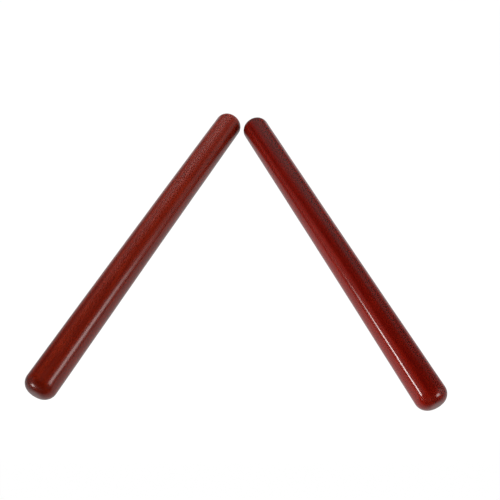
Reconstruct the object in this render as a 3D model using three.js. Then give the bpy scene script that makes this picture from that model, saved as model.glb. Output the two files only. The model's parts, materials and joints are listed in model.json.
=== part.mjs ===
// A pair of claves: two loose, solid hardwood sticks that are struck together.
// Millimetres, +Z up. The sticks lie on the plane z = 0 and splay apart like a V that opens
// towards -Y. The origin is at the bottom centre of the pair's bounding box.

import * as THREE from 'three';

// One stick. Both are the same: nominally 10 inches by 3/4 inch, and a little over that in girth.
const LENGTH = 254;
const RADIUS = 9.8;
const END_ROUND = 7.0; // radius of the round-over at each end; what is left is a small flat disc
const SIDES = 48; // flat facets round the stick
const ROUND_STEPS = 8; // straight steps in each quarter-circle round-over

// How the pair lies. A tip is the middle of a stick's end disc on the +Y side, and the two tips
// lie on either side of a common point: the held one to -X and +Y of it, the other opposite.
const TIP_OUT = 7.8;
const TIP_STAGGER = 2.2;
const HELD_SPLAY = 25.0; // degrees between the stick and +Y
const STRIKING_SPLAY = 23.7;

const HELD_COLOR = 0x6e2619;
const STRIKING_COLOR = 0x6a1a16;

// Half of the stick's outline in its own frame, axis along +Y, from one end to the other:
// flat disc, round-over, straight side, round-over, flat disc.
function stickOutline() {
  const disc = RADIUS - END_ROUND;
  const shoulder = LENGTH / 2 - END_ROUND; // where the round-over meets the straight side
  const outline = new THREE.Path();
  outline.moveTo(0, -LENGTH / 2);
  outline.lineTo(disc, -LENGTH / 2);
  outline.absarc(disc, -shoulder, END_ROUND, -Math.PI / 2, 0, false);
  outline.lineTo(RADIUS, shoulder);
  outline.absarc(disc, shoulder, END_ROUND, 0, Math.PI / 2, false);
  outline.lineTo(0, LENGTH / 2);
  // getPoints splits each arc into twice the number it is given
  return outline.getPoints(ROUND_STEPS / 2);
}

// Starting half a facet round puts the middle of one facet at the very bottom of the stick, so
// that it lies on a true flat.
function stickGeometry() {
  const halfFacet = Math.PI / SIDES;
  return new THREE.LatheGeometry(stickOutline(), SIDES, halfFacet);
}

// Lays a stick on z = 0 with its tip at (tipX, tipY), turned `turn` degrees about +Z from +Y.
function layStick(name, color, tipX, tipY, turn) {
  const material = new THREE.MeshStandardMaterial({ color, roughness: 0.35, metalness: 0 });
  const stick = new THREE.Mesh(stickGeometry(), material);
  const angle = THREE.MathUtils.degToRad(turn);
  const facetHeight = RADIUS * Math.cos(Math.PI / SIDES); // axis to the middle of a facet
  stick.name = name;
  stick.rotation.z = angle;
  stick.position.set(
    tipX + (LENGTH / 2) * Math.sin(angle),
    tipY - (LENGTH / 2) * Math.cos(angle),
    facetHeight,
  );
  return stick;
}

const claves = new THREE.Group();
claves.add(layStick('held_clave', HELD_COLOR, -TIP_OUT, TIP_STAGGER, -HELD_SPLAY));
claves.add(layStick('striking_clave', STRIKING_COLOR, TIP_OUT, -TIP_STAGGER, STRIKING_SPLAY));

// Centre the pair over the origin.
const middle = new THREE.Box3().setFromObject(claves, true).getCenter(new THREE.Vector3());
claves.position.set(-middle.x, -middle.y, 0);

export default claves;
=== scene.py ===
"""A pair of lacquered hardwood claves lying on a pale studio floor."""

import json
import math

import bpy
from mathutils import Matrix, Vector, noise


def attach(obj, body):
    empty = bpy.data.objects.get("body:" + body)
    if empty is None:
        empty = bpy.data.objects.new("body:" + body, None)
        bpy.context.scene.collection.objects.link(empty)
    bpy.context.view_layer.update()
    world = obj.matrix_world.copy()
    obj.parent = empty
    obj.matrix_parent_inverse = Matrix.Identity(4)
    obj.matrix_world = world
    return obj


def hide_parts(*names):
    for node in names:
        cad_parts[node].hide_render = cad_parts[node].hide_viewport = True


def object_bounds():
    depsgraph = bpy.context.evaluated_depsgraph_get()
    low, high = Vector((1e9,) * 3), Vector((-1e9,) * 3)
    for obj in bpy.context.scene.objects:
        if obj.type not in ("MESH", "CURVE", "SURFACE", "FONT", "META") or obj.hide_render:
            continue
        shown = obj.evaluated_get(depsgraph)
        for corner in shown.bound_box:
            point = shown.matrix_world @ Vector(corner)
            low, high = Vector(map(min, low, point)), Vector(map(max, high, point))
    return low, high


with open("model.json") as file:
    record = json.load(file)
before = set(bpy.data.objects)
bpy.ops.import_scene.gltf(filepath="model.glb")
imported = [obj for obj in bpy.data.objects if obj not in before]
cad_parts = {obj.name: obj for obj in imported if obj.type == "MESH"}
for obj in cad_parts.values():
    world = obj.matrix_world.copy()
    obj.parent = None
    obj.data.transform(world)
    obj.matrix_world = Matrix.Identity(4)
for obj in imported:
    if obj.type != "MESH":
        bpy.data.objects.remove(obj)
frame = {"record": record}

MM = 0.001
CAD_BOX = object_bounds()
MOUNTS = {m["name"]: m for m in frame["record"]["mounts"]}

# The camera, in the row frame: where it stands and how far below the horizon it looks, along +Y.
CAMERA_AT = Vector((8.5, -289.2, 366.8)) * MM
CAMERA_DOWN = math.radians(51.8)
CAMERA_LENS = 50.0

# The studio, in metres. A glow, a surround and a softbox's radiance are all relative to white.
STUDIO_HALF = 4.0
SEEN_FLOOR = -0.0002  # height of the floor that is seen, just under the claves
SEEN_GREY = 0.12
SEEN_GLOW = 1.0
BOUNCE_GREY = 0.06
BOUNCE_GLOW = 0.5
FRONT_MARGIN = 0.03  # the glow rises from none this far in front of the claves to full at them
SIDE_GLOW = 0.3  # share of the floor's glow that is left beside the claves
SIDE_FADE = (0.08, 0.22)  # how far out to the side the glow starts to weaken, and stops
SURROUND = 0.09
LAMP_DISTANCE = 1.1
FILL_SIZE = (1.2, 0.8)
WHITE_POWER = 4.0  # W per square metre of lamp that gives it a radiance of 1
LEAST_SAMPLED = 2.0  # radiance that the dimmer lamps are sampled as if they had

# The sticks, in millimetres. Their length and placing come from the record's end-face mounts.
RADIUS = 9.8
END_ROUND = 7.0
END_CROWN = 0.12  # how far the middle of an end disc stands proud
SIDE_ROWS = 320
ROUND_ROWS = 22
DISC_ROWS = 6
COLUMNS = 144

# Colours that both sticks share
END_GRAIN = (0.08, 0.0045, 0.002, 1)
PORE = (0.012, 0.003, 0.002, 1)
STAINED_SPECULAR = (1.0, 0.2, 0.1, 1)

# The wood, in mm. The pith is out on the stick's -X side and below its axis. The end grain's darker
# stain starts at the first distance from the stick's middle, and is full at the second.
END_STAIN = (121.5, 127.0)
FIBRE_HEIGHT = 0.01
PORE_DEPTH = 0.02
PITH_X = 31.0
PITH_Z = 9.0
RING_WIDTH = 2.4
RING_SWAY = 7.0
RING_LEAN = 0.018  # mm across for each mm along

# What differs between the two sticks. peel is the depth of the lacquer's orange peel in mm, and
# telegraph is how much of the grain's relief shows through the lacquer.
HELD_FINISH = {
    "name": "held_wood",
    "seed": 1.0,
    "dark": (0.120, 0.0040, 0.0004, 1),
    "middle": (0.178, 0.0088, 0.0009, 1),
    "light": (0.220, 0.0160, 0.0020, 1),
    "coat_roughness": 0.19,
    "peel": 0.02,
    "telegraph": 0.7,
}
STRIKING_FINISH = {
    "name": "striking_wood",
    "seed": 2.0,
    "dark": (0.118, 0.0024, 0.0010, 1),
    "middle": (0.170, 0.0046, 0.0017, 1),
    "light": (0.212, 0.0095, 0.0028, 1),
    "coat_roughness": 0.12,
    "peel": 0.006,
    "telegraph": 0.05,
}


# ---------------------------------------------------------------- mesh

def stick_profile(length):
    """Half outline of a stick from one pole to the other: (distance along, radius) in mm."""
    half = length / 2
    disc = RADIUS - END_ROUND
    cap = []
    for i in range(DISC_ROWS):
        share = i / DISC_ROWS
        cap.append((half + END_CROWN * (1 - share * share), disc * share))
    for i in range(ROUND_ROWS):
        angle = math.pi / 2 * (1 - i / ROUND_ROWS)
        along = half - END_ROUND + END_ROUND * math.sin(angle)
        cap.append((along, disc + END_ROUND * math.cos(angle)))
    straight = half - END_ROUND
    side = [(straight * (1 - 2 * i / SIDE_ROWS), RADIUS) for i in range(SIDE_ROWS + 1)]
    other = [(-along, radius) for along, radius in reversed(cap)]
    return cap + side + other


def turned_unevenness(along, angle, seed):
    """How far hand sanding leaves the surface in or out of true, in mm."""
    round_x, round_z = math.cos(angle), math.sin(angle)
    waves = noise.noise(Vector((round_x * 0.9, along / 22, round_z * 0.9 + seed)))
    ripples = noise.noise(Vector((round_x * 2.6 + seed, along / 7, round_z * 2.6)))
    return 0.05 * waves + 0.012 * ripples


def make_stick(name, node, finish, bow, waist):
    """
    A turned stick in place of a CAD node. bow is how far its middle lies off the axis, and waist is
    how much narrower its middle is each side, in mm.
    """
    tip = Vector(MOUNTS[node + "_tip"]["pos_m"])
    butt = Vector(MOUNTS[node + "_butt"]["pos_m"])
    centre = (tip + butt) / 2
    length = (tip - butt).length / MM
    turn = math.atan2(-(tip - butt).x, (tip - butt).y)
    place = Matrix.Translation((centre.x, centre.y, RADIUS * MM)) @ Matrix.Rotation(turn, 4, "Z")

    profile = stick_profile(length)
    vertices = []
    for row, (along, radius) in enumerate(profile):
        pole = radius == 0
        bulge = math.cos(math.pi * along / length)
        for column in range(1 if pole else COLUMNS):
            angle = 2 * math.pi * column / COLUMNS
            out = radius
            if not pole:
                out += min(radius / RADIUS, 1) * turned_unevenness(along, angle, finish["seed"])
                out -= waist * bulge * radius / RADIUS * abs(math.cos(angle))
            x = out * math.cos(angle) + bow * bulge
            vertices.append(place @ (Vector((x, along, out * math.sin(angle))) * MM))

    rings = len(profile) - 2
    last = len(vertices) - 1

    def ring_vertex(ring, column):
        return 1 + ring * COLUMNS + column % COLUMNS

    faces = []
    for column in range(COLUMNS):
        faces.append((0, ring_vertex(0, column), ring_vertex(0, column + 1)))
        for ring in range(rings - 1):
            faces.append((
                ring_vertex(ring, column),
                ring_vertex(ring + 1, column),
                ring_vertex(ring + 1, column + 1),
                ring_vertex(ring, column + 1),
            ))
        faces.append((last, ring_vertex(rings - 1, column + 1), ring_vertex(rings - 1, column)))

    mesh = bpy.data.meshes.new(name)
    mesh.from_pydata(vertices, [], faces)
    mesh.validate()
    mesh.shade_smooth()
    lowest = min(v.co.z for v in mesh.vertices)
    mesh.transform(Matrix.Translation((0, 0, -lowest)))
    stick = bpy.data.objects.new(name, mesh)
    bpy.context.scene.collection.objects.link(stick)
    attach(stick, node)
    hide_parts(node)
    mesh.materials.append(wood_material(centre, turn, finish))
    return stick


# ---------------------------------------------------------------- materials

def add_node(tree, kind, inputs, **settings):
    """Adds a shader node. Each input is set to a value, or linked if it is another node's output."""
    node = tree.nodes.new(kind)
    for name, value in settings.items():
        setattr(node, name, value)
    for key, value in inputs.items():
        if isinstance(value, bpy.types.NodeSocket):
            tree.links.new(value, node.inputs[key])
        else:
            node.inputs[key].default_value = value
    return node


def maths(tree, operation, *values):
    return add_node(tree, "ShaderNodeMath", dict(enumerate(values)), operation=operation).outputs[0]


def stretched(tree, where, across, along):
    """Coordinates scaled so that one unit is `across` mm wide and `along` mm long."""
    scale = (1 / across, 1 / along, 1 / across)
    return add_node(tree, "ShaderNodeMapping", {"Vector": where, "Scale": scale}).outputs[0]


def streaks(tree, where, across, along, detail=2.0, rough=0.5):
    """Noise from 0 to 1 in streaks of about that width and length, in mm."""
    inputs = {
        "Vector": stretched(tree, where, across, along),
        "Scale": 1.0,
        "Detail": detail,
        "Roughness": rough,
    }
    return add_node(tree, "ShaderNodeTexNoise", inputs).outputs["Fac"]


def spread(tree, value, low, high):
    """Stretches low..high to 0..1, and clips the rest."""
    inputs = {"Value": value, "From Min": low, "From Max": high}
    return add_node(tree, "ShaderNodeMapRange", inputs, interpolation_type="SMOOTHSTEP").outputs[0]


def blend_colour(tree, share, first, second, most=1.0):
    """From first, where share is 0, towards second. most is how much of second share = 1 gives."""
    if most != 1.0:
        share = maths(tree, "MULTIPLY", share, most)
    inputs = {0: share, 6: first, 7: second}
    return add_node(tree, "ShaderNodeMix", inputs, data_type="RGBA").outputs[2]


def stick_space(tree, centre, turn):
    """Position in the stick's own frame, in mm: Y runs along the stick, and 0 is its middle."""
    row_frame = add_node(tree, "ShaderNodeTexCoord", {}).outputs["Object"]
    inputs = {
        "Vector": row_frame,
        "Location": (centre.x, centre.y, RADIUS * MM),
        "Rotation": (0, 0, turn),
        "Scale": (MM, MM, MM),
    }
    return add_node(tree, "ShaderNodeMapping", inputs, vector_type="TEXTURE").outputs[0]


def growth_rings(tree, own, where):
    """0 to 1 by growth ring. The pith lies outside the stick and leans a little across it."""
    split = add_node(tree, "ShaderNodeSeparateXYZ", {0: own}).outputs
    sway = maths(tree, "MULTIPLY", streaks(tree, where, 14, 90, 1.0), RING_SWAY)
    lean = maths(tree, "MULTIPLY_ADD", split["Y"], RING_LEAN, sway)
    to_pith_x = maths(tree, "ADD", maths(tree, "ADD", split["X"], PITH_X), lean)
    to_pith_z = maths(tree, "ADD", split["Z"], PITH_Z)
    square_x = maths(tree, "POWER", to_pith_x, 2.0)
    squares = maths(tree, "MULTIPLY_ADD", to_pith_z, to_pith_z, square_x)
    rings = maths(tree, "DIVIDE", maths(tree, "SQRT", squares), RING_WIDTH)
    inputs = {"W": rings, "Scale": 1.0, "Detail": 2.0}
    return add_node(tree, "ShaderNodeTexNoise", inputs, noise_dimensions="1D").outputs["Fac"]


def vessels(tree, where, across, along, share):
    """1 in the wood's vessels: short lines along the grain, dots on the ends. share is how many."""
    cell = add_node(
        tree, "ShaderNodeTexVoronoi", {"Vector": stretched(tree, where, across, along), "Scale": 1.0}
    ).outputs
    chance = add_node(tree, "ShaderNodeSeparateColor", {0: cell["Color"]}).outputs[0]
    kept = spread(tree, chance, 1.0 - share, 1.1 - share)
    return maths(tree, "MULTIPLY", spread(tree, cell["Distance"], 0.3, 0.14), kept)


def wood_colour(tree, own, where, finish, fibre, pore):
    """Stained wood: growth rings and streaks, paler fibres, darker patches, ends and vessels."""
    streak = streaks(tree, where, 1.3, 46, 3.0, 0.55)
    mottle = streaks(tree, where, 4.5, 13, 2.0)
    stain = streaks(tree, where, 9, 40, 2.0)
    figure = maths(tree, "MULTIPLY", mottle, 0.25)
    figure = maths(tree, "MULTIPLY_ADD", streak, 0.25, figure)
    figure = maths(tree, "MULTIPLY_ADD", growth_rings(tree, own, where), 0.5, figure)

    # End grain drinks more stain than the sides do.
    along = add_node(tree, "ShaderNodeSeparateXYZ", {0: own}).outputs["Y"]
    end_grain = spread(tree, maths(tree, "ABSOLUTE", along), *END_STAIN)

    colour = blend_colour(tree, spread(tree, figure, 0.32, 0.68), finish["dark"], finish["middle"])
    colour = blend_colour(tree, spread(tree, fibre, 0.35, 0.8), colour, finish["light"], 0.35)
    colour = blend_colour(tree, spread(tree, stain, 0.55, 0.3), colour, finish["dark"], 0.3)
    colour = blend_colour(tree, end_grain, colour, END_GRAIN, 0.5)
    return blend_colour(tree, pore, colour, PORE, 0.35)


def lacquer_bump(tree, where, finish, fibre, pore):
    """The lacquer bridges the grain, so its surface has orange peel and a trace of the grain."""
    orange_peel = streaks(tree, where, 2.2, 3.4, 1.0)
    height = maths(tree, "MULTIPLY", orange_peel, finish["peel"])
    fibres = maths(tree, "MULTIPLY", fibre, FIBRE_HEIGHT)
    grain = maths(tree, "MULTIPLY_ADD", pore, -PORE_DEPTH, fibres)
    height = maths(tree, "MULTIPLY_ADD", grain, finish["telegraph"], height)
    return add_node(tree, "ShaderNodeBump", {"Height": height, "Distance": MM}).outputs[0]


def wood_material(centre, turn, finish):
    """Stained, lacquered, straight-grained hardwood. The figure is solid, in the stick's own frame."""
    material = bpy.data.materials.new(finish["name"])
    material.use_nodes = True
    tree = material.node_tree
    tree.nodes.clear()

    own = stick_space(tree, centre, turn)
    seed = finish["seed"]
    shift = (seed * 7.3, seed * 131, seed * 5.1)
    where = add_node(tree, "ShaderNodeVectorMath", {0: own, 1: shift}).outputs[0]
    fibre = streaks(tree, where, 0.55, 14, 1.0)
    pore = vessels(tree, where, 0.6, 5.5, 0.5)
    bump = lacquer_bump(tree, where, finish, fibre, pore)

    shader = add_node(tree, "ShaderNodeBsdfPrincipled", {
        "Base Color": wood_colour(tree, own, where, finish, fibre, pore),
        "Roughness": maths(tree, "MULTIPLY_ADD", fibre, 0.16, 0.32),
        "Normal": bump,
        "IOR": 1.5,
        "Specular IOR Level": 0.3,
        "Specular Tint": STAINED_SPECULAR,
        "Coat Weight": 1.0,
        "Coat Roughness": finish["coat_roughness"],
        "Coat IOR": 1.5,
        "Coat Normal": bump,
    })
    add_node(tree, "ShaderNodeOutputMaterial", {"Surface": shader.outputs[0]})
    return material


def floor_material(name, grey, glow):
    """Matt grey that also glows."""
    material = bpy.data.materials.new(name)
    material.use_nodes = True
    shader = material.node_tree.nodes["Principled BSDF"]
    shader.inputs["Base Color"].default_value = (grey, grey, grey, 1)
    shader.inputs["Roughness"].default_value = 1.0
    shader.inputs["Specular IOR Level"].default_value = 0.0
    shader.inputs["Emission Color"].default_value = (1, 1, 1, 1)
    shader.inputs["Emission Strength"].default_value = glow
    return material


def fade_glow(material, glow):
    """Makes a floor's glow fade out in front of the claves, and weaken to their left and right."""
    tree = material.node_tree
    place = add_node(tree, "ShaderNodeTexCoord", {}).outputs["Object"]
    place = add_node(tree, "ShaderNodeSeparateXYZ", {0: place}).outputs
    dark_before = CAD_BOX[0][1] - FRONT_MARGIN
    behind = spread(tree, place["Y"], dark_before, dark_before + FRONT_MARGIN)
    near, far = SIDE_FADE
    between = spread(tree, maths(tree, "ABSOLUTE", place["X"]), far, near)
    share = maths(tree, "MULTIPLY_ADD", between, 1 - SIDE_GLOW, SIDE_GLOW)
    fade = maths(tree, "MULTIPLY", share, maths(tree, "MULTIPLY", behind, glow))
    tree.links.new(fade, tree.nodes["Principled BSDF"].inputs["Emission Strength"])


# ---------------------------------------------------------------- studio

def make_plane(name, height, material):
    half = STUDIO_HALF
    corners = [(-half, -half), (half, -half), (half, half), (-half, half)]
    mesh = bpy.data.meshes.new(name)
    mesh.from_pydata([(x, y, height) for x, y in corners], [], [(0, 1, 2, 3)])
    mesh.materials.append(material)
    plane = bpy.data.objects.new(name, mesh)
    bpy.context.scene.collection.objects.link(plane)
    return plane


def make_floor():
    """The white floor that is seen, and a dim one in the same place that the claves are lit by."""
    seen = make_plane("floor", SEEN_FLOOR, floor_material("floor_white", SEEN_GREY, SEEN_GLOW))
    seen.visible_diffuse = False
    seen.visible_glossy = False
    dim = floor_material("floor_bounce", BOUNCE_GREY, BOUNCE_GLOW)
    fade_glow(dim, BOUNCE_GLOW)
    bounce = make_plane("bounce", 0.0, dim)
    bounce.visible_camera = False
    bounce.visible_shadow = False


def soften_edges(lamp, level):
    """Makes an area lamp fade out from level towards its edges, as a softbox does."""
    lamp.use_nodes = True
    tree = lamp.node_tree
    place = add_node(tree, "ShaderNodeNewGeometry", {}).outputs["Parametric"]
    sides = add_node(tree, "ShaderNodeSeparateXYZ", {0: place})
    strength = level
    for side in ("X", "Y"):
        off_centre = maths(tree, "ABSOLUTE", maths(tree, "SUBTRACT", sides.outputs[side], 0.5))
        strength = maths(tree, "MULTIPLY", spread(tree, off_centre, 0.5, 0.15), strength)
    tree.links.new(strength, tree.nodes["Emission"].inputs["Strength"])


def make_softbox(name, azimuth, elevation, size, radiance, shine, only):
    """
    A rectangular light that faces the claves. Azimuth 0 is +Y and 90 is +X, in degrees. It either
    shows in the lacquer or lights the wood under it, by shine. only is the one piece that it is
    flagged to reach, or None for both.
    """
    around = math.radians(azimuth)
    up = math.radians(elevation)
    away = Vector((math.sin(around) * math.cos(up), math.cos(around) * math.cos(up), math.sin(up)))
    lamp = bpy.data.lights.new(name, "AREA")
    lamp.shape = "RECTANGLE"
    width, height = size
    lamp.size = width
    lamp.size_y = height
    # A lamp is sampled by its energy. A dim one is given more of it, to keep noise down, and its
    # nodes take that off again.
    sampled = max(radiance, LEAST_SAMPLED)
    lamp.energy = WHITE_POWER * width * height * sampled
    soften_edges(lamp, radiance / sampled)
    softbox = bpy.data.objects.new(name, lamp)
    softbox.location = away * LAMP_DISTANCE
    softbox.rotation_mode = "QUATERNION"
    softbox.rotation_quaternion = away.to_track_quat("Z", "Y")
    softbox.visible_camera = False
    softbox.visible_glossy = shine
    softbox.visible_diffuse = not shine
    bpy.context.scene.collection.objects.link(softbox)
    if only:
        reach = bpy.data.collections.new(name + "_reach")
        reach.objects.link(only)
        softbox.light_linking.receiver_collection = reach


def make_highlight(name, azimuth, elevation, size, radiance, only=None):
    make_softbox(name, azimuth, elevation, size, radiance, True, only)


def make_fill(name, azimuth, elevation, radiance, only):
    make_softbox(name, azimuth, elevation, FILL_SIZE, radiance, False, only)


def make_lamps(held, striking):
    make_highlight("left_key", -101, 18, (0.58, 0.18), 17.0, striking)
    make_highlight("left_dot", -126, 12, (0.50, 0.36), 8.0, held)
    make_highlight("right_key", 99.5, 25.2, (0.62, 0.50), 3.6, held)
    make_highlight("right_dot", 127, 23, (0.52, 0.46), 5.0, striking)
    make_highlight("back_glow", 0, 38, (2.4, 1.0), 0.21)
    make_highlight("right_glow", 95, 28, (1.2, 1.2), 0.16)
    make_highlight("left_glow", -95, 28, (1.2, 1.2), 0.14)
    make_highlight("far_right_glow", 50, 20, (1.2, 0.8), 0.3, held)

    make_fill("held_front_fill", 205, 10, 4.0, held)
    make_fill("held_back_fill", 0, 35, 9.8, held)
    make_fill("held_top_fill", 0, 90, 1.6, held)
    make_fill("held_right_fill", 90, 14, 2.7, held)
    make_fill("held_low_fill", 140, 14, 1.6, held)

    make_fill("striking_front_fill", 175, 10, 2.2, striking)
    make_fill("striking_back_fill", 0, 35, 2.6, striking)
    make_fill("striking_left_fill", -90, 14, 1.0, striking)
    make_fill("striking_right_fill", 90, 14, 7.6, striking)
    make_fill("striking_low_fill", -135, 8, 13.0, striking)


def make_world():
    """
    White to look at, but a dim surround for the lacquer to mirror: faint near the horizon, dark
    overhead and in front.
    """
    world = bpy.data.worlds.new("studio")
    bpy.context.scene.world = world
    world.use_nodes = True
    tree = world.node_tree
    away = add_node(tree, "ShaderNodeTexCoord", {}).outputs["Generated"]
    away = add_node(tree, "ShaderNodeSeparateXYZ", {0: away}).outputs
    low = spread(tree, maths(tree, "ABSOLUTE", away["Z"]), 0.5, 0.1)
    behind = spread(tree, away["Y"], -0.8, -0.2)
    glow = maths(tree, "MULTIPLY", maths(tree, "MULTIPLY", low, behind), SURROUND)
    seen = add_node(tree, "ShaderNodeLightPath", {}).outputs["Is Camera Ray"]
    glow = maths(tree, "MAXIMUM", glow, seen)
    tree.links.new(glow, tree.nodes["Background"].inputs["Strength"])
    tree.nodes["Background"].inputs["Color"].default_value = (1, 1, 1, 1)
    world.cycles_visibility.diffuse = False


def make_camera():
    data = bpy.data.cameras.new("camera")
    data.lens = CAMERA_LENS
    camera = bpy.data.objects.new("camera", data)
    camera.location = CAMERA_AT
    camera.rotation_euler = (math.pi / 2 - CAMERA_DOWN, 0, 0)
    bpy.context.scene.collection.objects.link(camera)
    bpy.context.scene.camera = camera


# ---------------------------------------------------------------- the scene

scene = bpy.context.scene
scene.view_settings.view_transform = "Standard"
make_camera()
make_world()
make_floor()

held = make_stick("held_clave_wood", "held_clave", HELD_FINISH, -0.3, 0.0)
striking = make_stick("striking_clave_wood", "striking_clave", STRIKING_FINISH, 0.0, 0.3)
make_lamps(held, striking)
